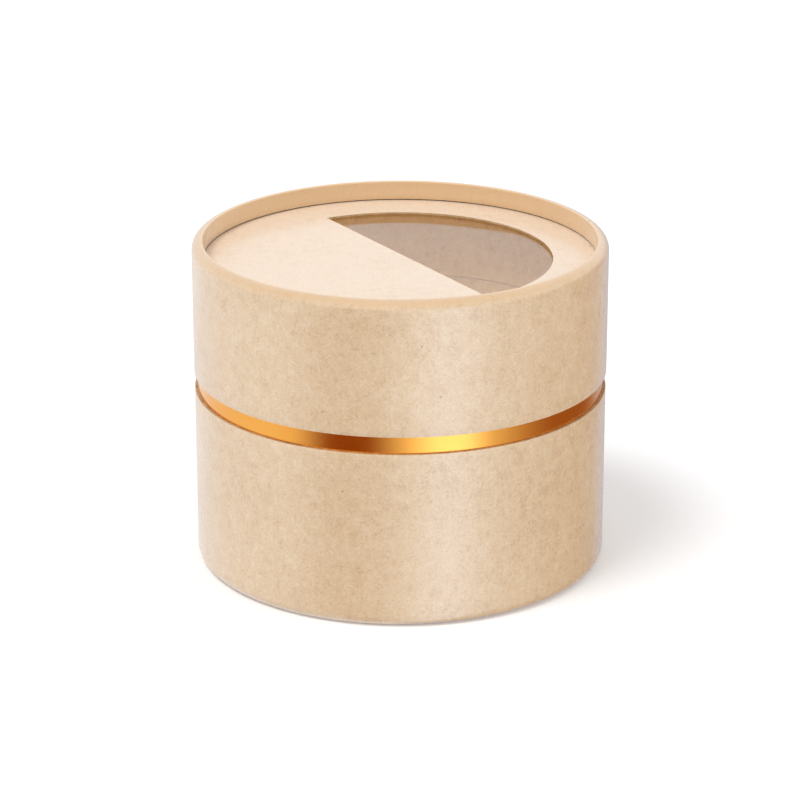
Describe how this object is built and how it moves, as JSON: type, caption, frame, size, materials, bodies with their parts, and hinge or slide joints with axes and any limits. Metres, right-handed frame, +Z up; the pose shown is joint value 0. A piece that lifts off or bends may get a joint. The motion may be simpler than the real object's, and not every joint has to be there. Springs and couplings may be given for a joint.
{
  "type": "cylindrical gift box",
  "caption": "Round kraft board gift box: a base with a gold-covered neck, and a lift-off lid with a rounded rim, a recessed top and a half-round film window.",
  "frame": {"origin": "centre of the face the box stands on", "axes": "+Z up along the box's axis, from the foot to the lid's rim; +X and -Y face the sides seen in front; the window faces between +X and +Y"},
  "size_m": [0.12, 0.12, 0.096],
  "materials": {
    "kraft_paper": "matte",
    "kraft_top": "satin",
    "kraft_lining": "matte",
    "wound_board": "matte",
    "gold_paper": "polished",
    "clear_film": "gloss",
    "clear_tape": "satin"
  },
  "bodies": {
    "base": {"base_tube": "wound_board", "base_wrap": "kraft_paper", "foot_ring": "wound_board", "bottom_disc": "wound_board", "bottom_paper": "kraft_paper", "floor_paper": "kraft_lining", "neck_tube": "wound_board", "neck_foil": "gold_paper", "neck_lining": "kraft_lining"},
    "lid": {"lid_tube": "wound_board", "lid_wrap": "kraft_paper", "rim_ring": "wound_board", "lid_sleeve": "wound_board", "sleeve_lining": "kraft_lining", "top_disc": "wound_board", "top_paper": "kraft_top", "film_tape": "clear_tape", "window_film": "clear_film"}
  },
  "joints": [
    {"name": "lid_lift", "type": "slide", "parent": "base", "child": "lid", "axis": [0, 0, 1], "range_m": [0, 0.08]}
  ]
}
